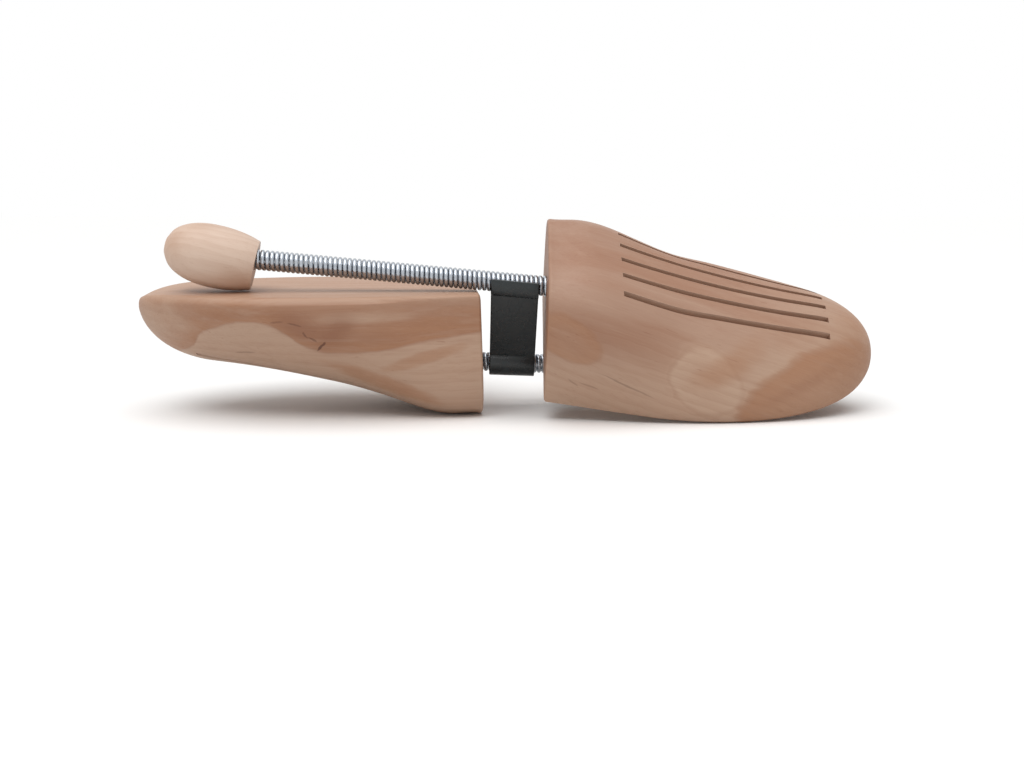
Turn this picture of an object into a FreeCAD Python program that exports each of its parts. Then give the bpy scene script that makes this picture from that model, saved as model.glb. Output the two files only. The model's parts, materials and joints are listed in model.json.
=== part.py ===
"""Pair of cedar spring shoe trees, nested head to tail and held together by a clip on their springs.

Each tree is a carved forepart, a coil spring and a heel knob. The spring ends sit in blind bores, each over
a dowel core that a cross pin locks into the wood. Millimetres, +Z up, +X towards the right tree's toe.
"""
import FreeCAD
import Part
import math
import os

V = FreeCAD.Vector

# Forepart, in the tree's own frame: x forward from the rear face, y across, z up from the sole
forepart_length = 143.0
rear_width = 71.2
ball_width = 88.0
ball_from_rear = 64.0
ball_swell_power = 1.3
rear_height = 53.9
rear_rake = 2.0
instep_level = 17.5
instep_fall_power = 1.82
vamp_height = 29.5
toe_round_from_tip = 32.5
toe_tip_height = 6.0
toe_sole_power = 3.5
toe_top_power = 2.2
sole_edge_radius = 3.6
sole_edge_limit = 0.45
rear_edge_radius = 1.2

# Cross-sections: a high power across keeps the top broad, a low power up slopes the sides
waist_from_rear = 58.0
vamp_from_rear = 118.0
rear_power_across = 4.2
rear_power_up = 3.7
waist_power_across = 2.3
waist_power_up = 1.58
vamp_power_across = 2.0
vamp_power_up = 1.44

# Vent grooves on the vamp, drawn a little together towards the toe
groove_count = 5
groove_width = 2.4
groove_depth = 3.2
groove_from_rear = 28.5
groove_from_tip = 25.0
groove_spacing_rear = 10.1
groove_spacing_toe = 7.2

# Coil spring
spring_height = 33.9
spring_showing = 120.5
spring_diameter = 8.6
wire_diameter = 1.7
spring_turns = 48
tail_bend = 2.4
front_flex = 0.25
rear_flex = 0.75

# Bores, dowel cores and lock pins
bore_depth = 10.0
bore_clearance = 0.3
dowel_clearance = 0.4
pilot_depth = 14.0
pilot_clearance = 0.03
pin_diameter = 2.0
pin_clearance = 0.03
pin_past_dowel = 3.0

# Heel knob
knob_length = 36.6
knob_diameter = 25.8
knob_belly_from_front = 16.0
knob_front_diameter = 20.4
knob_rear_power = 2.3
knob_tilt = 10.0

# Clip on both springs: the right one drops in from above, the left one goes in from the far side
clip_width = 20.0
clip_wall = 1.2
clip_clearance = 0.3
clip_web = 4.0
clip_lip_rise = 1.3
clip_edge_radius = 0.4
clip_lean = 2.0
clip_from_left_face = 6.9

# Nest: the left tree lies on its instep, the right tree leans on its near sole edge over the left tree
rear_face_gap = 29.8
left_roll = 2.0
right_roll = 33.9
right_yaw = 1.2
right_pitch_least = -15.0
right_pitch_most = 25.0
right_set_near = 2.5
nest_clearance = 0.4

# Fineness of the curves
crown_points = 16
edge_points = 4
body_stations = 10
toe_stations = 8
rim_stations = 4
toe_last_angle = 86.0
groove_points = 6
knob_points = 6
settle_steps = 40
nest_rounds = 5
gap_points_per_turn = 72

spring_radius = (spring_diameter - wire_diameter) / 2
spring_length = spring_showing + 2 * bore_depth
bore_radius = spring_diameter / 2 + bore_clearance
dowel_radius = spring_diameter / 2 - wire_diameter - dowel_clearance
knob_radius = knob_diameter / 2
knob_reach = spring_showing + knob_length / 2


def knob_profile(steps):
    """Points (radius, height) up the knob from its flat front to its rear end."""
    front_angle = math.acos(knob_front_diameter / knob_diameter)
    front_reach = knob_belly_from_front / math.sin(front_angle)
    rear_reach = knob_length - knob_belly_from_front
    points = []
    for i in range(steps):
        angle = front_angle * (1 - i / steps)
        points.append((knob_radius * math.cos(angle), knob_belly_from_front - front_reach * math.sin(angle)))
    for i in range(steps + 1):
        angle = math.pi / 2 * i / steps
        radius = knob_radius * abs(math.cos(angle)) ** (2 / knob_rear_power)
        points.append((radius, knob_belly_from_front + rear_reach * math.sin(angle) ** (2 / knob_rear_power)))
    return points


def knob_stand(slope):
    """Height of the knob's middle over a flat face, where slope is the sine of its axis's rise from it."""
    across = math.sqrt(1 - slope ** 2)
    outline = knob_profile(settle_steps)
    return max((knob_length / 2 - height) * slope + radius * across for radius, height in outline)


# The spring leans so that the knob of the upturned tree lies level with its instep
spring_drop = rear_height - spring_height - knob_stand(-math.sin(math.radians(knob_tilt)))
spring_rise = math.asin(spring_drop / knob_reach)
spring_start = V(-spring_height * math.tan(math.radians(rear_rake)), 0, spring_height)
spring_way = V(-math.cos(spring_rise), 0, math.sin(spring_rise))
knob_lean = spring_rise + math.radians(knob_tilt)
knob_way = V(-math.cos(knob_lean), 0, math.sin(knob_lean))


def share_past(x, begin, end):
    """How far x lies from begin to end, from 0 to 1."""
    return min(1.0, max(0.0, (x - begin) / (end - begin)))


def eased(x, stops):
    """Value at x on smooth runs between (x, value) stops."""
    value = stops[0][1]
    for (x0, v0), (x1, v1) in zip(stops, stops[1:]):
        share = share_past(x, x0, x1)
        value += (v1 - v0) * share * share * (3 - 2 * share)
    return value


def toe_share(x):
    """How far x lies into the toe's rounding, from 0 to 1."""
    return share_past(x, forepart_length - toe_round_from_tip, forepart_length)


def half_width(x):
    """Half of the forepart's width: it swells to the ball, then rounds in to the toe."""
    swell = math.sin(share_past(x, 0, ball_from_rear) * math.pi / 2) ** ball_swell_power
    width = rear_width / 2 + (ball_width - rear_width) / 2 * swell
    return width * math.sqrt(1 - share_past(x, ball_from_rear, forepart_length) ** 2)


def sole_level(x):
    """Height of the sole: flat, rounding up to the tip of the toe."""
    return toe_tip_height * (1 - math.sqrt(1 - toe_share(x) ** toe_sole_power))


def top_level(x):
    """Height of the centre line: level instep, hollow slope, then rounding down to the tip of the toe."""
    run = share_past(x, instep_level, forepart_length)
    slope = vamp_height + (rear_height - vamp_height) * (1 - run) ** instep_fall_power
    return toe_tip_height + (slope - toe_tip_height) * math.sqrt(1 - toe_share(x) ** toe_top_power)


def crown_powers(x):
    """Powers across and up of the cross-section at x."""
    stations = (0, waist_from_rear, vamp_from_rear)
    across = list(zip(stations, (rear_power_across, waist_power_across, vamp_power_across)))
    up = list(zip(stations, (rear_power_up, waist_power_up, vamp_power_up)))
    return eased(x, across), eased(x, up)


def edge_radius(x):
    """Rounding of the sole's edge, limited where the toe gets thin."""
    thinnest = min(half_width(x), top_level(x) - sole_level(x))
    return min(sole_edge_radius, sole_edge_limit * thinnest)


def crown_level(x, y):
    """Height of the upper surface over a point of the plan."""
    across, up = crown_powers(x)
    base = sole_level(x) + edge_radius(x)
    inside = max(0.0, 1 - (abs(y) / half_width(x)) ** across)
    return base + (top_level(x) - base) * inside ** (1 / up)


def raked(x, y, z):
    """Point of a cross-section, set back as the rear face leans, less and less towards the waist."""
    ahead = 1 - share_past(x, 0, waist_from_rear)
    return V(x - z * math.tan(math.radians(rear_rake)) * ahead ** 2, y, z)


def section(x, inset=0.0):
    """Closed cross-section at x: a flat sole, and one smooth curve over its edges, sides and crown."""
    width = half_width(x) - inset
    radius = edge_radius(x)
    base = sole_level(x) + radius + inset
    top = top_level(x) - inset
    across, up = crown_powers(x)
    edge = []
    for i in range(edge_points):
        angle = math.pi / 2 * i / edge_points
        edge.append((width - radius + radius * math.sin(angle), base - radius * math.cos(angle)))
    crown = []
    for i in range(crown_points + 1):
        angle = math.pi * i / crown_points
        side = math.copysign(abs(math.cos(angle)) ** (2 / across), math.cos(angle))
        rise = abs(math.sin(angle)) ** (2 / up)
        crown.append((width * side, base + (top - base) * rise))
    other_edge = [(-y, z) for y, z in reversed(edge)]
    points = [raked(x, y, z) for y, z in edge + crown + other_edge]
    steps = [i / (len(points) - 1) for i in range(len(points))]
    curve = Part.BSplineCurve()
    curve.interpolate(Points=points, Parameters=steps)
    return Part.Wire([curve.toShape(), Part.makeLine(points[-1], points[0])])


def make_forepart_blank():
    """Carved block with rounded rear edges, before anything is cut into it."""
    toe_start = forepart_length - toe_round_from_tip
    rear_start = rear_edge_radius
    stations = [rear_start + (toe_start - rear_start) * i / body_stations for i in range(body_stations)]
    for i in range(toe_stations + 1):
        angle = math.radians(toe_last_angle * i / toe_stations)
        stations.append(toe_start + toe_round_from_tip * math.sin(angle))
    body = Part.makeLoft([section(x) for x in stations], True, False)
    rim = []
    for i in range(rim_stations + 1):
        angle = math.pi / 2 * i / rim_stations
        x = rear_edge_radius * (1 - math.cos(angle))
        rim.append(section(x, rear_edge_radius * (1 - math.sin(angle))))
    return body.fuse(Part.makeLoft(rim, True, False))


def make_groove(number):
    """Cutter for one vent groove, whose floor follows the crown at an even depth."""
    place = number - (groove_count - 1) / 2
    begin = V(groove_from_rear, place * groove_spacing_rear, 0)
    end = V(forepart_length - groove_from_tip, place * groove_spacing_toe, 0)
    across = (end - begin).cross(V(0, 0, 1)).normalize()
    floor_points = []
    for i in range(groove_points):
        point = begin + (end - begin) * (i / (groove_points - 1))
        point.z = crown_level(point.x, point.y) - groove_depth
        floor_points.append(point)
    floor = Part.BSplineCurve()
    floor.interpolate(floor_points)
    above = V(0, 0, rear_height + groove_depth)
    rim = Part.makePolygon([floor_points[-1], end + above, begin + above, floor_points[0]])
    face = Part.Face(Part.Wire([floor.toShape()] + rim.Edges))
    face.translate(across * (-groove_width / 2))
    return face.extrude(across * groove_width)


def make_knob_blank():
    """Bun-shaped knob with a flat front, standing on its front face with its axis along z."""
    points = [V(radius, 0, height) for radius, height in knob_profile(knob_points)]
    points[-1].x = 0
    curve = Part.BSplineCurve()
    curve.interpolate(Points=points, InitialTangent=points[1] - points[0], FinalTangent=V(-1, 0, 0))
    axis = Part.makePolygon([points[-1], V(0, 0, 0), points[0]])
    face = Part.Face(Part.Wire([curve.toShape()] + axis.Edges))
    return face.revolve(V(0, 0, 0), V(0, 0, 1), 360)


def rod(start, way, length, radius):
    """Round bar from a point along a direction."""
    return Part.makeCylinder(radius, length, start, way)


def biarc(p0, t0, p1, t1):
    """Two arcs that leave p0 along t0, meet smoothly and reach p1 along t1."""
    chord = p1 - p0
    total = t0 + t1
    bend = 2 * (1 - t0.dot(t1))
    along = chord.dot(total)
    reach = (math.sqrt(along ** 2 + bend * chord.dot(chord)) - along) / bend
    corner0 = p0 + t0 * reach
    corner1 = p1 - t1 * reach
    joint = (corner0 + corner1) * 0.5
    return [arc_by_corner(p0, corner0, joint), arc_by_corner(joint, corner1, p1)]


def arc_by_corner(begin, corner, end):
    """Arc from begin to end that touches the lines through the corner."""
    middle = (begin + end) * 0.5
    half_chord = (end - begin).Length / 2
    out = corner - middle
    turn = 2 * math.atan2(out.Length, half_chord)
    return Part.Arc(begin, middle + out.normalize() * (half_chord * math.tan(turn / 4)), end).toShape()


def make_spring():
    """Coil spring along z, with both wire ends turned along the axis to seat square on the bores' floors."""
    tail = wire_diameter
    low = tail + tail_bend
    high = spring_length - low
    climb = (high - low) / (spring_turns * 2 * math.pi)

    def coil_point(angle):
        return V(spring_radius * math.cos(angle), spring_radius * math.sin(angle), low + climb * angle)

    def coil_way(angle):
        return V(-spring_radius * math.sin(angle), spring_radius * math.cos(angle), climb).normalize()

    up = V(0, 0, 1)
    last_angle = spring_turns * 2 * math.pi
    tail_angle = math.asin(tail_bend / spring_radius)
    tail_in = coil_point(-tail_angle)
    tail_in.z = tail
    tail_out = coil_point(last_angle + tail_angle)
    tail_out.z = spring_length - tail
    start = V(tail_in.x, tail_in.y, 0)
    end = V(tail_out.x, tail_out.y, spring_length)
    arcs = biarc(tail_in, up, coil_point(0), coil_way(0))
    for i in range(2 * spring_turns):
        first = i * math.pi
        second = first + math.pi
        arcs += biarc(coil_point(first), coil_way(first), coil_point(second), coil_way(second))
    arcs += biarc(coil_point(last_angle), coil_way(last_angle), tail_out, up)
    print("tightest arc of the spring", round(min(arc.Curve.Radius for arc in arcs), 3))
    print("least gap between turns", round(least_gap(arcs), 3))
    edges = [Part.makeLine(start, tail_in)] + arcs + [Part.makeLine(tail_out, end)]
    pipe = Part.BRepOffsetAPI.MakePipeShell(Part.Wire(edges))
    pipe.add(Part.Wire(Part.Circle(start, up, wire_diameter / 2).toShape()))
    pipe.build()
    pipe.makeSolid()
    return pipe.shape()


def least_gap(arcs):
    """Least clear distance of the wire to itself, measured on points of its middle line."""
    per_arc = gap_points_per_turn // 4
    points = []
    for arc in arcs:
        span = arc.LastParameter - arc.FirstParameter
        points += [arc.valueAt(arc.FirstParameter + span * i / per_arc) for i in range(per_arc)]
    least = spring_length
    half_turn = gap_points_per_turn // 2
    reach = 2 * gap_points_per_turn
    for i, point in enumerate(points):
        for other in points[i + half_turn:i + reach]:
            least = min(least, point.distanceToPoint(other))
    return least - wire_diameter


def make_tree():
    """All pieces of one tree in its own frame, by name."""
    forepart_blank = make_forepart_blank()
    knob_turn = FreeCAD.Rotation(V(0, 0, 1), spring_way)
    knob_front = spring_start + spring_way * spring_showing
    knob_blank = make_knob_blank()
    knob_blank.Placement = FreeCAD.Placement(knob_front, knob_turn)
    knob_blank.rotate(spring_start + spring_way * knob_reach, V(0, 1, 0), knob_tilt)
    spring = make_spring()
    spring.Placement = FreeCAD.Placement(spring_start - spring_way * bore_depth, knob_turn)

    dowel_length = bore_depth + pilot_depth
    front_end = spring_start - spring_way * dowel_length
    rear_end = knob_front + spring_way * dowel_length
    mouth = spring_way * bore_depth
    front_bore = rod(spring_start - mouth, spring_way, 2 * bore_depth, bore_radius)
    rear_bore = rod(knob_front + mouth, spring_way * -1, 2 * bore_depth, bore_radius)
    front_pilot = rod(front_end, spring_way, dowel_length, dowel_radius + pilot_clearance)
    rear_pilot = rod(rear_end, spring_way * -1, dowel_length, dowel_radius + pilot_clearance)
    front_dowel = rod(front_end, spring_way, dowel_length, dowel_radius)
    rear_dowel = rod(rear_end, spring_way * -1, dowel_length, dowel_radius)

    down = V(-math.sin(spring_rise), 0, -math.cos(spring_rise))
    pin_in = bore_depth + pilot_depth / 2
    front_cross = spring_start - spring_way * pin_in
    rear_cross = knob_front + spring_way * pin_in
    past = dowel_radius + pin_past_dowel
    pieces = {}
    holes = {}
    for end, cross, blank in (("front", front_cross, forepart_blank), ("rear", rear_cross, knob_blank)):
        top = cross - down * past
        length = past + rear_height
        holes[end] = rod(top, down, length, pin_diameter / 2 + pin_clearance)
        pieces[end + "_pin"] = rod(top, down, length, pin_diameter / 2).common(blank)

    grooves = [make_groove(i) for i in range(groove_count)]
    pieces["forepart"] = forepart_blank.cut(grooves + [front_bore, front_pilot, holes["front"]])
    pieces["heel_knob"] = knob_blank.cut([rear_bore, rear_pilot, holes["rear"]])
    pieces["front_dowel"] = front_dowel.cut(holes["front"])
    pieces["rear_dowel"] = rear_dowel.cut(holes["rear"])
    pieces["spring"] = spring
    return pieces


def right_edge_depth(pitch):
    """How far the near sole edge of the rolled and pitched right tree reaches below its rear sole centre."""
    roll = math.radians(right_roll)
    lowest = 0.0
    for i in range(settle_steps + 1):
        x = forepart_length * i / (settle_steps + 1)
        radius = edge_radius(x)
        side = half_width(x) - radius
        rise = sole_level(x) + radius
        rolled = rise * math.cos(roll) - side * math.sin(roll)
        lowest = min(lowest, rolled * math.cos(pitch) - x * math.sin(pitch) - radius)
    return -lowest


def settle_right_tree(left):
    """Placement of the right tree: its edge on the floor, its knob and spring clear of the left sole."""
    left_up = left.Rotation.multVec(V(0, 0, -1))
    rear_edge = left.multVec(V(0, 0, 0))
    low = right_pitch_least
    high = right_pitch_most
    for _ in range(settle_steps):
        pitch = (low + high) / 2
        height = right_edge_depth(math.radians(pitch))
        at = V(rear_face_gap / 2, -right_set_near, height)
        right = FreeCAD.Placement(at, FreeCAD.Rotation(right_yaw, pitch, right_roll))
        start = right.multVec(spring_start)
        way = right.Rotation.multVec(spring_way)
        knob = start + way * knob_reach
        crossing = start + way * ((rear_edge.x - start.x) / way.x)
        slope = right.Rotation.multVec(knob_way).dot(left_up)
        knob_room = (knob - rear_edge).dot(left_up) - knob_stand(slope)
        spring_room = (crossing - rear_edge).dot(left_up) - spring_diameter / 2
        if min(knob_room, spring_room) < nest_clearance:
            low = pitch
        else:
            high = pitch
    return right


def place_trees():
    """Placements of both trees, turned so that the left knob is just clear of the right sole."""
    left_at = V(-rear_face_gap / 2, 0, rear_height)
    reach = knob_reach * math.cos(spring_rise) - spring_start.x
    knob_z = rear_height - spring_height - spring_drop
    left_yaw = 0.0
    for _ in range(nest_rounds):
        left = FreeCAD.Placement(left_at, FreeCAD.Rotation(left_yaw, 180, -left_roll))
        right = settle_right_tree(left)
        sole_up = right.Rotation.multVec(V(0, 0, 1))
        ahead = sole_up.x * (left_at.x + reach - right.Base.x) + sole_up.z * (knob_z - right.Base.z)
        stand = knob_stand(-left.Rotation.multVec(knob_way).dot(sole_up))
        knob_y = right.Base.y - (ahead + stand + nest_clearance) / sole_up.y
        left_yaw = math.degrees(math.asin(knob_y / reach))
    return {"left": left, "right": right}


def ruled_bar(outlines):
    """Bar between two like outlines, given as lists of corners."""
    return Part.makeLoft([Part.makePolygon(corners + corners[:1]) for corners in outlines], True, True)


def make_clip(placements):
    """Clip in the gap: an upper jaw open to the top, a lower jaw open to the far side, and a web between."""
    first = placements["left"].Base.x + clip_from_left_face
    inner = spring_diameter / 2 + clip_clearance
    outer = inner + clip_wall
    margin = outer
    centres = {}
    bars = {}
    bores = {}
    for side, placement in placements.items():
        start = placement.multVec(spring_start)
        way = placement.Rotation.multVec(spring_way)
        ends = [start + way * ((x - start.x) / way.x) for x in (first - margin, first + clip_width + margin)]
        along = ends[1] - ends[0]
        centres[side] = ends
        bars[side] = rod(ends[0], along, along.Length, outer)
        bores[side] = rod(ends[0], along, along.Length, inner)
    web = []
    upper_mouth = []
    lower_mouth = []
    for low, high in zip(centres["left"], centres["right"]):
        aside = V(1, 0, 0).cross(high - low).normalize() * (clip_web / 2)
        web.append([low - aside, low + aside, high + aside, high - aside])
        past = outer + margin
        upper_mouth.append([high + V(0, y, z) for y, z in (
            (-past, clip_lip_rise), (past, clip_lip_rise), (past, past), (-past, past))])
        lower_mouth.append([low + V(0, y, z) for y, z in (
            (clip_lip_rise, -past), (past, -past), (past, past), (clip_lip_rise, past))])
    body = ruled_bar(web).fuse([bars["left"], bars["right"]])
    body = body.cut([bores["left"], bores["right"], ruled_bar(upper_mouth), ruled_bar(lower_mouth)])
    middle = (centres["left"][0] + centres["left"][1] + centres["right"][0] + centres["right"][1]) * 0.25
    reach = (centres["right"][0] - centres["left"][0]).Length
    slab = Part.makeBox(clip_width, 2 * reach, 2 * reach, middle - V(clip_width / 2, reach, reach))
    slab.rotate(middle, V(0, 1, 0), clip_lean)
    clip = body.common(slab).Solids[0]
    return clip.makeFillet(clip_edge_radius, clip.Edges)


def main():
    placements = place_trees()
    tree = make_tree()
    shapes = {"clip": make_clip(placements)}
    for side, placement in placements.items():
        for name, piece in tree.items():
            placed = piece.copy()
            placed.Placement = placement.multiply(piece.Placement)
            shapes[side + "_" + name] = placed
    box = Part.makeCompound(list(shapes.values())).optimalBoundingBox()
    shift = V(-(box.XMin + box.XMax) / 2, -(box.YMin + box.YMax) / 2, -box.ZMin)
    print("size", [round(v, 2) for v in (box.XLength, box.YLength, box.ZLength)])
    print("shift", [round(v, 4) for v in shift])
    for side, placement in placements.items():
        for share in (front_flex, rear_flex):
            pivot = placement.multVec(spring_start + spring_way * (spring_showing * share)) + shift
            print(side, "spring at", share, [round(v, 4) for v in pivot])
        toe = placement.multVec(V(forepart_length, 0, toe_tip_height)) + shift
        heel = placement.multVec(spring_start + spring_way * knob_reach + knob_way * (knob_length / 2)) + shift
        print(side, "toe", [round(v, 4) for v in toe])
        print(side, "heel", [round(v, 4) for v in heel])
        for name, axis in (("forward", V(1, 0, 0)), ("across", V(0, 1, 0)), ("knob", knob_way)):
            print(side, name, [round(v, 6) for v in placement.Rotation.multVec(axis)])
    os.makedirs("parts", exist_ok=True)
    for name, shape in shapes.items():
        shape.translate(shift)
        shape.exportStep("parts/" + name + ".step")
        print(name, len(shape.Solids), shape.isValid(), round(shape.Volume, 1))


main()
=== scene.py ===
"""Looks for a pair of cedar spring shoe trees, nested head to tail and held by a black clip on their springs.

The foreparts and heel knobs get their cedar, the springs their close turns of bright wire and the clip its
moulded plastic, all set on the packed solids.
"""

import json
import math
from collections import namedtuple

import bmesh
import bpy
from bpy.props import FloatProperty, FloatVectorProperty, IntProperty, PointerProperty
from mathutils import Matrix, Vector


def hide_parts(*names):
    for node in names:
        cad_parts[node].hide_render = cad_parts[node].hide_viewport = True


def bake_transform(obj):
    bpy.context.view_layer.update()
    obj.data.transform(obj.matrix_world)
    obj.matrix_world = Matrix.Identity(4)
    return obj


bl_info = {
    "name": "Spring shoe trees",
    "version": (1, 0, 0),
    "blender": (4, 5, 0),
    "location": "View3D > Sidebar > Shoe trees",
    "description": "Cedar, wire and plastic for a nested pair of spring shoe trees",
    "category": "Object",
}

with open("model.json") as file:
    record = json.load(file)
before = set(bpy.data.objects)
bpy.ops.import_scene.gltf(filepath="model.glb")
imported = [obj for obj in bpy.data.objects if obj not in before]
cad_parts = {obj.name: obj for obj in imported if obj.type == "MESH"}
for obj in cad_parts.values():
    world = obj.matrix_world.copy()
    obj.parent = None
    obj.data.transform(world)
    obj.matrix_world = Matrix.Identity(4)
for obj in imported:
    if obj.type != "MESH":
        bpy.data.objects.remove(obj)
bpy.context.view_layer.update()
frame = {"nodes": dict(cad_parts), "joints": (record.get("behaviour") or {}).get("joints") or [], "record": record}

SIDES = ("left", "right")
MILLIMETRES = 1000.0
joints = {joint["name"]: joint for joint in frame["joints"]}
mounts = {mount["name"]: mount for mount in frame["record"]["mounts"]}

# A patch in the wood: its middle, half length, half height and tilt in degrees in a tree's own frame in
# millimetres, its colour, how strongly it shows in the middle and at its edge, how soft that edge is, and how
# strongly it is lined
Mark = namedtuple("Mark", "x z length height tilt colour core edge soft rim")

LEFT_FIGURE = (
    Mark(48, -26, 19, 2.2, 1, "sapwood", 0.55, 0.35, 0.45, 0.0),
    Mark(43, -17.5, 18, 3.0, 3, "latewood", 0.20, 0.12, 0.45, 0.0),
    Mark(98, -27, 22, 2.6, 4, "latewood", 0.20, 0.12, 0.45, 0.0),
    Mark(137, -22, 18, 13, 0, "sapwood", 0.60, 0.40, 0.40, 0.0),
    Mark(41, 3, 25, 3.6, -22, "heartwood", 0.75, 0.60, 0.30, 0.0),
    Mark(25, -8, 17, 2.6, 16, "heartwood", 0.60, 0.50, 0.30, 0.0),
    Mark(73, -22, 11, 6.0, -28, "latewood", 0.62, 0.34, 0.45, 0.10),
    Mark(60, -20, 9, 5.5, 40, "latewood", 0.68, 0.36, 0.50, 0.0),
    Mark(65, -14, 2.6, 0.55, 50, "knot", 0.85, 0.80, 0.25, 0.0),
    Mark(68, -17, 1.8, 0.50, -35, "knot", 0.55, 0.50, 0.30, 0.0),
    Mark(70.5, -19, 1.6, 0.45, -60, "knot", 0.50, 0.45, 0.30, 0.0),
    Mark(75, -23.5, 2.6, 0.45, -15, "knot", 0.42, 0.40, 0.30, 0.0),
    Mark(82, -24.5, 2.8, 0.40, 5, "knot", 0.34, 0.30, 0.30, 0.0),
    Mark(97, -10.3, 4.0, 0.40, 4, "knot", 0.34, 0.30, 0.30, 0.0),
)
RIGHT_FIGURE = (
    Mark(8, 1, 15.5, 8.5, -27, "heartwood", 0.45, 0.66, 0.14, 0.12),
    Mark(66, -16, 17, 11.5, -30, "sapwood", 0.25, 0.80, 0.15, 0.16),
    Mark(75, -10.5, 15, 4.5, 18, "heartwood", 0.55, 0.35, 0.45, 0.0),
    Mark(112, -27, 37, 21, 3, "sapwood", 0.00, 0.44, 0.24, 0.0),
    Mark(112, -27, 32, 17, 3, "heartwood", 0.66, 0.86, 0.11, 0.14),
    Mark(106, -20, 17, 2.6, 14, "latewood", 0.26, 0.16, 0.45, 0.0),
    Mark(141, -7, 15, 13, 0, "heartwood", 0.66, 0.46, 0.45, 0.0),
    Mark(33, -17, 11, 0.42, -22, "knot", 0.36, 0.32, 0.30, 0.0),
    Mark(19, -20.3, 4.0, 0.40, -14, "knot", 0.30, 0.26, 0.30, 0.0),
    Mark(12, -19.7, 2.6, 0.40, -35, "knot", 0.28, 0.24, 0.30, 0.0),
)

# Where the left block's reddish heart meets its pale outer wood: places along the tree and the levels there
LEFT_HEART_LINE = (
    (-5, -20), (26, -15), (56, -11), (70, -13), (80, -20), (92, -24), (112, -20), (120, -12), (145, 0))

# Each forepart's timber: where its noise starts, the tilt of its grain in degrees, where the middle of the
# trunk runs, and its figure
TIMBER = {
    "left": {
        "seed": 3.0,
        "grain_tilt": 0,
        "pith": (-30, -95),
        "figure": LEFT_FIGURE,
        "heart_line": LEFT_HEART_LINE,
    },
    "right": {
        "seed": 41.0,
        "grain_tilt": -20,
        "pith": (18, 70),
        "figure": RIGHT_FIGURE,
    },
}
KNOB_SEEDS = {"left": 17.0, "right": 5.0}
DOWEL_SEED = 11.0

# The wood in millimetres: the levels over which the sole and its rounded edge get a painted highlight of the
# light from above, the width of the growth rings in a block and in a turned piece, where the middle of the trunk
# runs beside a turned piece, and the spacing of its lathe marks
SOLE_HIGHLIGHT_LEVELS = (-33.6, -30.5)
BLOCK_RING = 3.9
TURNED_RING = 3.4
TURNED_PITH = (23, -14)
LATHE_PITCH = 0.9

# Finish of sanded wood: how strongly it mirrors, and how deep its pores are in metres
WOOD_SHINE = 0.38
PORE_DEPTH = 0.0003

# Colour of the dull spots on steel and of the rubs on plastic, as shares of their base colour
DULL_SPOT = 0.72
PALE_RUB = 2.2

# Vent grooves in a tree's own frame in millimetres: how many, where they begin and end, their spacing there,
# half their width, where their colour fades past their sides, how far past their ends, and its lowest level
GROOVES = 5
GROOVE_RUN = (29.7, 119.2)
GROOVE_SPACING = (10.1, 7.2)
GROOVE_HALF = 1.2
GROOVE_FADE = (0.02, 0.16)
GROOVE_END_FADE = 0.2
GROOVE_LOWEST = -30.0

# Lights: the sun's spread, place and direction, and the lamp's size and place in metres
SUN_SPREAD = math.radians(65)
SUN_PLACE = Vector((0, 0, 2))
SUN_WAY = Vector((0.10, 0.28, -1.0))
LAMP_SIZE = 0.35
LAMP_PLACE = Vector((-0.25, -0.55, 0.85))


class SpringSettings(bpy.types.PropertyGroup):
    """Sizes and colours of the coil springs and lock pins."""

    diameter: FloatProperty(
        name="Coil diameter", description="Outside diameter of the coil", default=0.0086, subtype="DISTANCE")
    wire: FloatProperty(name="Wire", description="Diameter of the wire", default=0.00185, subtype="DISTANCE")
    bore_depth: FloatProperty(
        name="Seat depth", description="How far each end sits in the wood", default=0.01, subtype="DISTANCE")
    turns: IntProperty(name="Turns", description="Turns of each spring, an even count", default=70)
    turn_steps: IntProperty(name="Steps a turn", description="Steps round each turn", default=24)
    wire_sides: IntProperty(name="Wire sides", description="Sides round the wire", default=10)
    bend_reach: FloatProperty(
        name="Bend reach", description="How far to each side of a hinge the coil bends", default=0.01,
        subtype="DISTANCE")
    colour: FloatVectorProperty(
        name="Steel", description="Colour of the bright wire", default=(0.46, 0.49, 0.53), subtype="COLOR")
    pins: FloatVectorProperty(
        name="Pins", description="Colour of the lock pins", default=(0.5, 0.5, 0.51), subtype="COLOR")


class ClipSettings(bpy.types.PropertyGroup):
    """Colour of the clip."""

    colour: FloatVectorProperty(
        name="Plastic", description="Colour of the moulded plastic", default=(0.009, 0.014, 0.016),
        subtype="COLOR")


class CedarSettings(bpy.types.PropertyGroup):
    """Colours of the bare wood."""

    heartwood: FloatVectorProperty(
        name="Heartwood", description="Reddish inner wood", default=(0.385, 0.190, 0.102), subtype="COLOR")
    body: FloatVectorProperty(
        name="Body", description="Even pinkish wood", default=(0.345, 0.192, 0.132), subtype="COLOR")
    sapwood: FloatVectorProperty(
        name="Sapwood", description="Pale outer wood", default=(0.52, 0.352, 0.252), subtype="COLOR")
    latewood: FloatVectorProperty(
        name="Latewood", description="Darker edge of each ring", default=(0.27, 0.115, 0.062),
        subtype="COLOR")
    knot: FloatVectorProperty(
        name="Knot", description="Middle of a knot", default=(0.085, 0.028, 0.016), subtype="COLOR")
    # Groove colour: paler fresh-cut wood, made paler still as painted light that lifts the shade inside the
    # grooves
    groove_wood_and_painted_light: FloatVectorProperty(
        name="Groove", description="Fresh-cut wood inside the vent grooves", default=(0.47, 0.305, 0.22),
        subtype="COLOR")
    knob: FloatVectorProperty(
        name="Heel knob", description="Wood of the turned knobs", default=(0.69, 0.52, 0.415),
        subtype="COLOR")
    dowel: FloatVectorProperty(
        name="Dowel", description="Wood of the cores", default=(0.60, 0.45, 0.29), subtype="COLOR")


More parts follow.
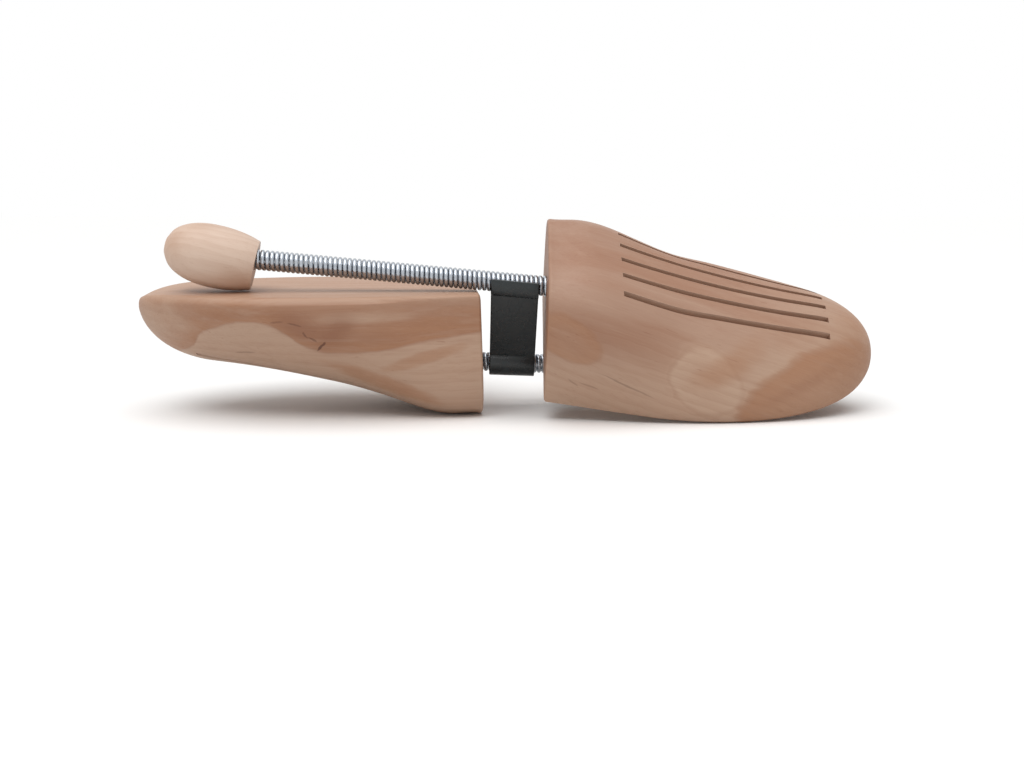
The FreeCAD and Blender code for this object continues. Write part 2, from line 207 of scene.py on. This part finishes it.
class StageSettings(bpy.types.PropertyGroup):
    """Floor, light and camera."""

    floor: FloatVectorProperty(
        name="Floor", description="Colour of the floor in the light that it throws back",
        default=(0.82, 0.82, 0.815), subtype="COLOR")
    backdrop: FloatVectorProperty(
        name="Backdrop", description="Colour of the floor as it is seen", default=(1.0, 1.0, 0.995),
        subtype="COLOR")
    sun: FloatProperty(name="Sun", description="Strength of the light from above", default=1.90)
    sky: FloatProperty(name="Sky", description="Strength of the light from all round", default=0.42)
    lamp: FloatProperty(
        name="Lamp", description="Small lamp that gives the highlights", default=1.15, unit="POWER")
    floor_size: FloatProperty(
        name="Floor size", description="Half width of the floor", default=6.0, subtype="DISTANCE")
    eye: FloatVectorProperty(
        name="Camera", description="Place of the camera", default=(0.001, -0.4704, 0.0906),
        subtype="TRANSLATION")
    look_down: FloatProperty(
        name="Look down", description="Angle of the camera below level", default=math.radians(9.56),
        subtype="ANGLE")
    lens: FloatProperty(name="Lens", description="Focal length of the camera", default=38.3, unit="CAMERA")


SETTINGS = {
    "shoe_tree_spring": SpringSettings,
    "shoe_tree_clip": ClipSettings,
    "shoe_tree_cedar": CedarSettings,
    "shoe_tree_stage": StageSettings,
}


def spring_line(side):
    """Where a spring leaves its forepart's rear face, its direction, and the length that shows."""
    front = Vector(joints[side + "_flex_front"]["pos_m"])
    rear = Vector(joints[side + "_flex_rear"]["pos_m"])
    start = front - (rear - front) / 2
    return start, (rear - front).normalized(), (rear - front).length * 2


def tree_frame(side):
    """Frame of a tree: x to the toe, y across and z up from the sole, from the mouth of the spring's bore."""
    start, way, _ = spring_line(side)
    forward = Vector(mounts[side + "_toe_in_shoe"]["axis"])
    up = (way - forward * way.dot(forward)).normalized()
    across = up.cross(forward)
    return Matrix.Translation(start) @ Matrix((forward, across, up)).transposed().to_4x4()


def knob_frame(side):
    """Frame of a heel knob: x along its axis to the heel, with its origin at its rear end."""
    mount = mounts[side + "_heel_in_shoe"]
    turn = Vector(mount["axis"]).to_track_quat("X", "Z").to_matrix().to_4x4()
    return Matrix.Translation(mount["pos_m"]) @ turn


def add_piece(name, bm, materials):
    """New object from a finished bmesh, at the origin."""
    mesh = bpy.data.meshes.new(name)
    bm.to_mesh(mesh)
    bm.free()
    piece = bpy.data.objects.new(name, mesh)
    bpy.context.scene.collection.objects.link(piece)
    for material in materials:
        mesh.materials.append(material)
    return piece


def dress(node, material):
    """Gives a packed solid its material."""
    slots = frame["nodes"][node].data.materials
    slots.clear()
    slots.append(material)


def new_material(name):
    """Empty material, its node tree and its shader."""
    material = bpy.data.materials.new(name)
    material.use_nodes = True
    tree = material.node_tree
    return material, tree, tree.nodes["Principled BSDF"]


def add(tree, kind, inputs=None, **settings):
    """New node with its settings, and with values or links on its inputs."""
    node = tree.nodes.new(kind)
    for key, value in settings.items():
        setattr(node, key, value)
    for key, value in (inputs or {}).items():
        if isinstance(value, bpy.types.NodeSocket):
            tree.links.new(value, node.inputs[key])
        else:
            node.inputs[key].default_value = value
    return node


def calc(tree, operation, first, second=0.0, third=0.0):
    """Output of a Math node."""
    return add(tree, "ShaderNodeMath", {0: first, 1: second, 2: third}, operation=operation).outputs[0]


def product(tree, first, *others):
    """Several values multiplied together."""
    for other in others:
        first = calc(tree, "MULTIPLY", first, other)
    return first


def vector_calc(tree, operation, first, second):
    """Output of a Vector Math node."""
    return add(tree, "ShaderNodeVectorMath", {0: first, 1: second}, operation=operation).outputs["Vector"]


def length_of(tree, vector):
    """Length of a vector."""
    return add(tree, "ShaderNodeVectorMath", {0: vector}, operation="LENGTH").outputs["Value"]


def split(tree, vector):
    """The x, y and z of a vector."""
    return add(tree, "ShaderNodeSeparateXYZ", {0: vector}).outputs


def between(tree, value, low, high, new_low=0.0, new_high=1.0):
    """Value on a smooth run from low to high."""
    inputs = {0: value, 1: low, 2: high, 3: new_low, 4: new_high}
    return add(tree, "ShaderNodeMapRange", inputs, interpolation_type="SMOOTHSTEP").outputs[0]


def opaque(colour):
    """Colour with full alpha."""
    return (*colour, 1.0)


def blend_colour(tree, share, first, second):
    """Output of a colour Mix node."""
    return add(tree, "ShaderNodeMix", {0: share, 6: first, 7: second}, data_type="RGBA").outputs[2]


def lay(tree, colour, share, over):
    """Colour with a share of another laid over it."""
    return blend_colour(tree, share, colour, opaque(over))


def roughen(tree, shader, height, strength, depth):
    """Fine relief on a shader."""
    bump = add(tree, "ShaderNodeBump", {"Strength": strength, "Distance": depth, "Height": height})
    tree.links.new(bump.outputs[0], shader.inputs["Normal"])


def own_place(tree, place):
    """Coordinates in millimetres in a piece's own frame."""
    inward = place.inverted()
    inputs = {
        "Vector": add(tree, "ShaderNodeTexCoord").outputs["Object"],
        "Location": inward.to_translation() * MILLIMETRES,
        "Rotation": inward.to_euler(),
        "Scale": (MILLIMETRES,) * 3,
    }
    return add(tree, "ShaderNodeMapping", inputs).outputs[0]


def drawn_out(tree, spot, along, across, shift):
    """Coordinates for noise with marks about along millimetres long in x and across millimetres wide."""
    inputs = {"Vector": spot, "Location": (shift,) * 3, "Scale": (1 / along, 1 / across, 1 / across)}
    return add(tree, "ShaderNodeMapping", inputs).outputs[0]


def grain_noise(tree, spot, along, across, shift, detail=2.0, roughness=0.5):
    """Noise drawn out along x."""
    stretched = drawn_out(tree, spot, along, across, shift)
    inputs = {"Vector": stretched, "Scale": 1.0, "Detail": detail, "Roughness": roughness}
    return add(tree, "ShaderNodeTexNoise", inputs).outputs[0]


def even_noise(tree, scale, detail):
    """Noise that is alike in all directions, with marks about 1 / scale metres wide."""
    coordinates = add(tree, "ShaderNodeTexCoord").outputs["Object"]
    inputs = {"Vector": coordinates, "Scale": scale, "Detail": detail}
    return add(tree, "ShaderNodeTexNoise", inputs).outputs[0]


def bent_place(tree, spot, along, across, amount, shift):
    """Coordinates pushed about by noise, so that what is drawn on them wanders like grain."""
    inputs = {"Vector": drawn_out(tree, spot, along, across, shift), "Scale": 1.0, "Detail": 2.0}
    noise = add(tree, "ShaderNodeTexNoise", inputs).outputs["Color"]
    push = vector_calc(tree, "SUBTRACT", noise, (0.5, 0.5, 0.5))
    return vector_calc(tree, "ADD", spot, vector_calc(tree, "MULTIPLY", push, amount))


def level_along(tree, x, stops):
    """Level that runs smoothly through (x, level) stops."""
    first, last = stops[0][0], stops[-1][0]
    levels = [level for _, level in stops]
    lowest, span = min(levels), max(levels) - min(levels)
    share = add(tree, "ShaderNodeMapRange", {0: x, 1: first, 2: last}).outputs[0]
    curve = add(tree, "ShaderNodeFloatCurve", {"Value": share})
    points = curve.mapping.curves[0].points
    for (at, level), point in zip((stops[0], stops[-1]), (points[0], points[-1])):
        point.location = ((at - first) / (last - first), (level - lowest) / span)
    for at, level in stops[1:-1]:
        points.new((at - first) / (last - first), (level - lowest) / span)
    curve.mapping.update()
    return calc(tree, "MULTIPLY_ADD", curve.outputs[0], span, lowest)


def lay_heart(tree, colour, bent, streak, heart_line):
    """Colour with reddish heart below a line and pale wood above it."""
    wood = bpy.context.scene.shoe_tree_cedar
    x, _, z = split(tree, bent)
    rise = calc(tree, "SUBTRACT", z, level_along(tree, x, heart_line))
    heart = product(
        tree, between(tree, rise, -0.7, 0.5, 0.92, 0), between(tree, rise, -15, -2, 0.55, 1),
        between(tree, streak, 0.32, 0.66, 0.62, 1))
    colour = lay(tree, colour, between(tree, rise, -0.5, 1.2, 0, 0.74), wood.sapwood)
    return lay(tree, colour, heart, wood.heartwood)


def draw_mark(tree, spot, wander, colour, mark):
    """Colour with one mark of the figure laid over it."""
    wood = bpy.context.scene.shoe_tree_cedar
    inputs = {
        "Vector": spot,
        "Location": (mark.x, 0, mark.z),
        "Rotation": (0, -math.radians(mark.tilt), 0),
        "Scale": (mark.length, MILLIMETRES, mark.height),
    }
    inward = add(tree, "ShaderNodeMapping", inputs, vector_type="TEXTURE").outputs[0]
    out = calc(tree, "MULTIPLY_ADD", wander, 2.0 * mark.soft, length_of(tree, inward))
    strength = between(tree, out, 0.15, 0.95, mark.core, mark.edge)
    inside = between(tree, out, 1 - mark.soft, 1 + mark.soft, 1, 0)
    colour = lay(tree, colour, product(tree, strength, inside), getattr(wood, mark.colour))
    if not mark.rim:
        return colour
    rim = product(tree, between(tree, out, 0.86, 0.99, 0, mark.rim), between(tree, out, 1.0, 1.07, 1, 0))
    return lay(tree, colour, rim, wood.latewood)


def pith_distance(tree, spot, pith, slant):
    """Distance from the middle of the trunk, which runs along x; slant is the share of x that counts."""
    aside = vector_calc(tree, "SUBTRACT", spot, (0, *pith))
    return length_of(tree, vector_calc(tree, "MULTIPLY", aside, (slant, 1, 1)))


def late_edges(tree, distance, width, peak, fall):
    """Share of dark latewood across the growth rings: it grows up to peak and is gone after fall."""
    ring = calc(tree, "FRACT", calc(tree, "DIVIDE", distance, width))
    return product(tree, between(tree, ring, 0.2, peak), between(tree, ring, fall, 1.0, 1, 0))


def end_grain(tree, place):
    """Share of darker end grain on the faces that look along a piece's x."""
    facing = add(tree, "ShaderNodeTexCoord").outputs["Normal"]
    inputs = {"Vector": facing, "Rotation": place.inverted().to_euler()}
    facing = add(tree, "ShaderNodeMapping", inputs, vector_type="VECTOR").outputs[0]
    end_on = calc(tree, "ABSOLUTE", split(tree, facing)[0])
    return between(tree, end_on, 0.72, 0.99, 0, 0.36)


def groove_mask(tree, spot):
    """1 inside the vent grooves of a forepart and 0 elsewhere."""
    x, y, z = split(tree, spot)
    begin, end = GROOVE_RUN
    inputs = {0: x, 1: begin, 2: end, 3: GROOVE_SPACING[0], 4: GROOVE_SPACING[1]}
    spacing = add(tree, "ShaderNodeMapRange", inputs).outputs[0]
    place = calc(tree, "DIVIDE", y, spacing)
    number = calc(tree, "ROUND", place)
    aside = calc(tree, "ABSOLUTE", calc(tree, "SUBTRACT", place, number))
    aside = calc(tree, "MULTIPLY", aside, spacing)
    near, far = GROOVE_FADE
    return product(
        tree,
        between(tree, aside, GROOVE_HALF + near, GROOVE_HALF + far, 1, 0),
        calc(tree, "LESS_THAN", calc(tree, "ABSOLUTE", number), GROOVES / 2),
        between(tree, x, begin - GROOVE_END_FADE, begin),
        between(tree, x, end, end + GROOVE_END_FADE, 1, 0),
        calc(tree, "GREATER_THAN", z, GROOVE_LOWEST),
    )


def sand(tree, shader, colour, fibre, roughness, height, relief):
    """Finish of bare sanded wood: its colour, a roughness between two limits and its pores."""
    tree.links.new(colour, shader.inputs["Base Color"])
    tree.links.new(between(tree, fibre, 0.3, 0.7, *roughness), shader.inputs["Roughness"])
    shader.inputs["Specular IOR Level"].default_value = WOOD_SHINE
    roughen(tree, shader, height, relief, PORE_DEPTH)


def cedar(name, place, seed, grain_tilt, pith, figure, heart_line=()):
    """Bare cedar: pinkish wood with a block's own figure, faint rings, fibres and flecks along its grain, a
    painted highlight on the sole's edge, and vent grooves painted paler to lift their shade.
    """
    wood = bpy.context.scene.shoe_tree_cedar
    material, tree, shader = new_material(name)
    spot = own_place(tree, place)
    bent = bent_place(tree, spot, 30, 11, (4.5, 2.6, 2.6), seed)
    bent = bent_place(tree, bent, 8, 1.8, (1.6, 0.6, 0.6), seed + 7)
    turn = {"Vector": bent, "Rotation": (0, math.radians(grain_tilt), 0)}
    grain = add(tree, "ShaderNodeMapping", turn).outputs[0]
    tone = grain_noise(tree, grain, 75, 17, seed + 13)
    streak = grain_noise(tree, grain, 60, 3.2, seed + 19)
    fibre = grain_noise(tree, grain, 26, 0.55, seed + 3, 3.0, 0.6)
    fleck = grain_noise(tree, grain, 15, 0.8, seed + 29, 1.0)
    wander = calc(tree, "SUBTRACT", grain_noise(tree, grain, 16, 5, seed + 31, 3.0), 0.5)

    colour = blend_colour(tree, between(tree, tone, 0.36, 0.66), opaque(wood.sapwood), opaque(wood.heartwood))
    colour = lay(tree, colour, 0.66, wood.body)
    if heart_line:
        colour = lay_heart(tree, colour, bent, streak, heart_line)
    else:
        colour = lay(tree, colour, between(tree, split(tree, bent)[2], -20, 6, 0.76, 0), wood.sapwood)
    # Painted highlight: the sole and its rounded edge are made paler with sapwood colour, as if lit from above
    colour = lay(tree, colour, between(tree, split(tree, spot)[2], *SOLE_HIGHLIGHT_LEVELS, 0.45, 0), wood.sapwood)
    for mark in figure:
        colour = draw_mark(tree, bent, wander, colour, mark)
    colour = lay(tree, colour, between(tree, streak, 0.54, 0.76, 0, 0.16), wood.latewood)
    colour = lay(tree, colour, between(tree, streak, 0.24, 0.45, 0.20, 0), wood.sapwood)

    late = late_edges(tree, pith_distance(tree, grain, pith, 0.06), BLOCK_RING, 0.92, 0.94)
    late = calc(tree, "MULTIPLY", late, between(tree, tone, 0.3, 0.7, 0.03, 0.13))
    colour = lay(tree, colour, late, wood.latewood)
    colour = lay(tree, colour, between(tree, fibre, 0.48, 0.80, 0, 0.16), wood.latewood)
    colour = lay(tree, colour, between(tree, fibre, 0.22, 0.46, 0.14, 0), wood.sapwood)
    colour = lay(tree, colour, between(tree, fleck, 0.73, 0.80, 0, 0.45), wood.latewood)
    colour = lay(tree, colour, end_grain(tree, place), wood.latewood)
    # Paler fresh-cut wood in the vent grooves, lightened further as painted light against the shade in them
    colour = lay(tree, colour, groove_mask(tree, spot), wood.groove_wood_and_painted_light)
    pores = calc(tree, "MULTIPLY_ADD", late, -0.6, fibre)
    sand(tree, shader, colour, fibre, (0.46, 0.60), pores, 0.16)
    return material


def turned_wood(name, place, base, dark, seed):
    """Turned wood: grain along x, and faint lathe rings round it."""
    material, tree, shader = new_material(name)
    spot = own_place(tree, place)
    tone = grain_noise(tree, spot, 40, 12, seed + 5)
    fibre = grain_noise(tree, spot, 14, 0.5, seed + 3, 3.0, 0.6)
    sway = calc(tree, "SUBTRACT", grain_noise(tree, spot, 30, 14, seed, 1.5), 0.5)
    distance = calc(tree, "MULTIPLY_ADD", sway, 9, pith_distance(tree, spot, TURNED_PITH, 0.1))
    late = late_edges(tree, distance, TURNED_RING, 0.9, 0.93)
    colour = blend_colour(tree, between(tree, tone, 0.35, 0.7, 0, 0.35), opaque(base), opaque(dark))
    colour = lay(tree, colour, calc(tree, "MULTIPLY", late, 0.11), dark)
    colour = lay(tree, colour, between(tree, fibre, 0.52, 0.8, 0, 0.22), dark)
    lathe = calc(tree, "SINE", calc(tree, "MULTIPLY", split(tree, spot)[0], 2 * math.pi / LATHE_PITCH))
    pores = calc(tree, "MULTIPLY_ADD", lathe, 0.08, fibre)
    sand(tree, shader, colour, fibre, (0.45, 0.58), pores, 0.14)
    return material


def drawn_steel(name, base, roughness):
    """Bright drawn steel with a fine mottle."""
    material, tree, shader = new_material(name)
    mottle = even_noise(tree, 900.0, 3.0)
    dull = [channel * DULL_SPOT for channel in base]
    colour = lay(tree, opaque(base), between(tree, mottle, 0.45, 0.75, 0, 0.6), dull)
    tree.links.new(colour, shader.inputs["Base Color"])
    tree.links.new(between(tree, mottle, 0.3, 0.7, roughness, roughness + 0.14), shader.inputs["Roughness"])
    shader.inputs["Metallic"].default_value = 1.0
    return material


def moulded_plastic(name, base):
    """Black moulded plastic: a satin skin with a fine grain and a few paler rubs."""
    material, tree, shader = new_material(name)
    rub = even_noise(tree, 210.0, 4.0)
    worn = [channel * PALE_RUB for channel in base]
    colour = lay(tree, opaque(base), between(tree, rub, 0.5, 0.78, 0, 0.8), worn)
    tree.links.new(colour, shader.inputs["Base Color"])
    tree.links.new(between(tree, rub, 0.3, 0.7, 0.20, 0.34), shader.inputs["Roughness"])
    shader.inputs["Specular IOR Level"].default_value = 0.5
    roughen(tree, shader, even_noise(tree, 2600.0, 2.0), 0.12, 0.0001)
    return material


class SHOETREE_OT_foreparts(bpy.types.Operator):
    """Give both foreparts their cedar"""

    bl_idname = "shoe_tree.foreparts"
    bl_label = "Foreparts"

    def execute(self, context):
        for side in SIDES:
            dress(side + "_forepart", cedar(side + "_cedar", tree_frame(side), **TIMBER[side]))
        return {"FINISHED"}


class SHOETREE_OT_heel_knobs(bpy.types.Operator):
    """Give both heel knobs their turned wood"""

    bl_idname = "shoe_tree.heel_knobs"
    bl_label = "Heel knobs"

    def execute(self, context):
        wood = context.scene.shoe_tree_cedar
        for side in SIDES:
            dress(side + "_heel_knob", turned_wood(
                side + "_knob_wood", knob_frame(side), wood.knob, wood.heartwood, KNOB_SEEDS[side]))
        return {"FINISHED"}


class SHOETREE_OT_fixings(bpy.types.Operator):
    """Give the dowel cores and lock pins their wood and steel"""

    bl_idname = "shoe_tree.fixings"
    bl_label = "Dowels and pins"

    def execute(self, context):
        wood = context.scene.shoe_tree_cedar
        steel = drawn_steel("pin_steel", context.scene.shoe_tree_spring.pins, roughness=0.35)
        for side in SIDES:
            core = turned_wood(side + "_dowel_wood", tree_frame(side), wood.dowel, wood.knob, DOWEL_SEED)
            for end in ("front", "rear"):
                dress(side + "_" + end + "_dowel", core)
                dress(side + "_" + end + "_pin", steel)
        return {"FINISHED"}


class SHOETREE_OT_springs(bpy.types.Operator):
    """Wind both coil springs, each in two halves, front and rear"""

    bl_idname = "shoe_tree.springs"
    bl_label = "Springs"

    def execute(self, context):
        spring = context.scene.shoe_tree_spring
        steel = drawn_steel("spring_steel", spring.colour, roughness=0.20)
        for side in SIDES:
            start, way, showing = spring_line(side)
            turn = way.to_track_quat("Z", "X").to_matrix().to_4x4()
            seat = start - way * (spring.bore_depth - spring.wire / 2)
            whole = showing + 2 * spring.bore_depth - spring.wire
            for half, end in enumerate(("front", "rear")):
                foot = seat + way * (whole / 2 * half)
                coil = self.wind(spring, whole / 2, spring.turns // 2)
                coil.transform(Matrix.Translation(foot) @ turn)
                piece = add_piece(side + "_coil_" + end, coil, [steel])
                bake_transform(piece)
                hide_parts(side + "_spring")
        return {"FINISHED"}

    def wind(self, spring, length, turns):
        """Coil of round wire along z."""
        radius = (spring.diameter - spring.wire) / 2
        steps = turns * spring.turn_steps
        lead = math.atan2(length / turns, 2 * math.pi * radius)
        bm = bmesh.new()
        bmesh.ops.create_circle(bm, segments=spring.wire_sides, radius=spring.wire / 2)
        bmesh.ops.rotate(bm, verts=bm.verts, matrix=Matrix.Rotation(math.pi / 2 + lead, 3, "X"))
        bmesh.ops.translate(bm, verts=bm.verts, vec=(radius, 0, 0))
        bmesh.ops.spin(
            bm, geom=bm.verts[:] + bm.edges[:], axis=(0, 0, 1), dvec=(0, 0, length / steps),
            angle=turns * 2 * math.pi, steps=steps)
        for face in bm.faces:
            face.smooth = True
        bmesh.ops.holes_fill(bm, edges=[edge for edge in bm.edges if edge.is_boundary])
        bmesh.ops.recalc_face_normals(bm, faces=bm.faces)
        return bm


class SHOETREE_OT_clip(bpy.types.Operator):
    """Give the clip its black plastic"""

    bl_idname = "shoe_tree.clip"
    bl_label = "Clip"

    def execute(self, context):
        dress("clip", moulded_plastic("black_plastic", context.scene.shoe_tree_clip.colour))
        return {"FINISHED"}


class SHOETREE_OT_stage(bpy.types.Operator):
    """Lay the floor, hang the lights and set up the camera"""

    bl_idname = "shoe_tree.stage"
    bl_label = "Stage"

    def execute(self, context):
        stage = context.scene.shoe_tree_stage
        bm = bmesh.new()
        bmesh.ops.create_grid(bm, x_segments=1, y_segments=1, size=stage.floor_size)
        add_piece("floor", bm, [self.floor_material(stage)])
        self.light_world(context.scene, stage.sky)
        self.hang_sun(stage.sun)
        self.hang_lamp(stage.lamp)
        self.set_up_camera(context.scene, stage)
        context.scene.view_settings.view_transform = "Standard"
        return {"FINISHED"}

    def floor_material(self, stage):
        """Plain matt floor, white to the eye and in mirrors, a little darker in the light it throws back."""
        material, tree, shader = new_material("pale_floor")
        colour = lay(tree, opaque(stage.floor), self.seen_share(tree), stage.backdrop)
        tree.links.new(colour, shader.inputs["Base Color"])
        shader.inputs["Roughness"].default_value = 0.9
        shader.inputs["Specular IOR Level"].default_value = 0.0
        return material

    def seen_share(self, tree):
        """1 for rays from the eye, and for those that metal or glass sends on, and 0 for the light's own."""
        path = add(tree, "ShaderNodeLightPath")
        seen = calc(tree, "MAXIMUM", path.outputs["Is Camera Ray"], path.outputs["Is Glossy Ray"])
        return calc(tree, "MAXIMUM", seen, path.outputs["Is Transmission Ray"])

    def light_world(self, scene, sky):
        """White surroundings for the eye and for reflections, and a softer light from them on the pair."""
        world = bpy.data.worlds.new("studio")
        world.use_nodes = True
        tree = world.node_tree
        strength = calc(tree, "MULTIPLY_ADD", self.seen_share(tree), 1.0 - sky, sky)
        background = tree.nodes["Background"]
        background.inputs["Color"].default_value = (1, 1, 1, 1)
        tree.links.new(strength, background.inputs["Strength"])
        scene.world = world

    def hang_sun(self, strength):
        """Broad soft light from above, a little from the front and the left."""
        lamp = bpy.data.lights.new("overhead", "SUN")
        lamp.energy = strength
        lamp.angle = SUN_SPREAD
        self.hang(lamp, SUN_PLACE, SUN_WAY)

    def hang_lamp(self, watts):
        """Small soft lamp at the front, above the camera."""
        lamp = bpy.data.lights.new("key", "AREA")
        lamp.energy = watts
        lamp.size = LAMP_SIZE
        self.hang(lamp, LAMP_PLACE, -LAMP_PLACE)

    def hang(self, lamp, place, way):
        """Puts a lamp in its place and points it along way."""
        light = bpy.data.objects.new(lamp.name, lamp)
        light.location = place
        light.rotation_euler = way.to_track_quat("-Z", "Y").to_euler()
        bpy.context.scene.collection.objects.link(light)

    def set_up_camera(self, scene, stage):
        """Camera in front of the pair, looking down a little."""
        camera = bpy.data.cameras.new("camera")
        camera.lens = stage.lens
        camera.sensor_width = 36.0
        camera.clip_start = 0.01
        eye = bpy.data.objects.new("camera", camera)
        eye.location = stage.eye
        eye.rotation_euler = (math.pi / 2 - stage.look_down, 0, 0)
        scene.collection.objects.link(eye)
        scene.camera = eye


OPERATORS = (
    SHOETREE_OT_foreparts,
    SHOETREE_OT_heel_knobs,
    SHOETREE_OT_fixings,
    SHOETREE_OT_springs,
    SHOETREE_OT_clip,
    SHOETREE_OT_stage,
)


class SHOETREE_PT_panel(bpy.types.Panel):
    """Lists the shoe trees' pieces and their sizes"""

    bl_idname = "SHOETREE_PT_panel"
    bl_label = "Shoe trees"
    bl_space_type = "VIEW_3D"
    bl_region_type = "UI"
    bl_category = "Shoe trees"

    def draw(self, context):
        for operator in OPERATORS:
            self.layout.operator(operator.bl_idname)
        for name, group in SETTINGS.items():
            box = self.layout.box()
            box.label(text=group.__doc__)
            for key in group.__annotations__:
                box.prop(getattr(context.scene, name), key)


CLASSES = (*SETTINGS.values(), *OPERATORS, SHOETREE_PT_panel)


def register():
    """Registers the classes and puts the settings on the scene."""
    for item in CLASSES:
        bpy.utils.register_class(item)
    for name, group in SETTINGS.items():
        setattr(bpy.types.Scene, name, PointerProperty(type=group))


def unregister():
    """Takes the settings and the classes away again."""
    for name in SETTINGS:
        delattr(bpy.types.Scene, name)
    for item in reversed(CLASSES):
        bpy.utils.unregister_class(item)


def main():
    """Makes every piece in order."""
    register()
    bpy.ops.shoe_tree.foreparts()
    bpy.ops.shoe_tree.heel_knobs()
    bpy.ops.shoe_tree.fixings()
    bpy.ops.shoe_tree.springs()
    bpy.ops.shoe_tree.clip()
    bpy.ops.shoe_tree.stage()


if __name__ == "__main__":
    main()
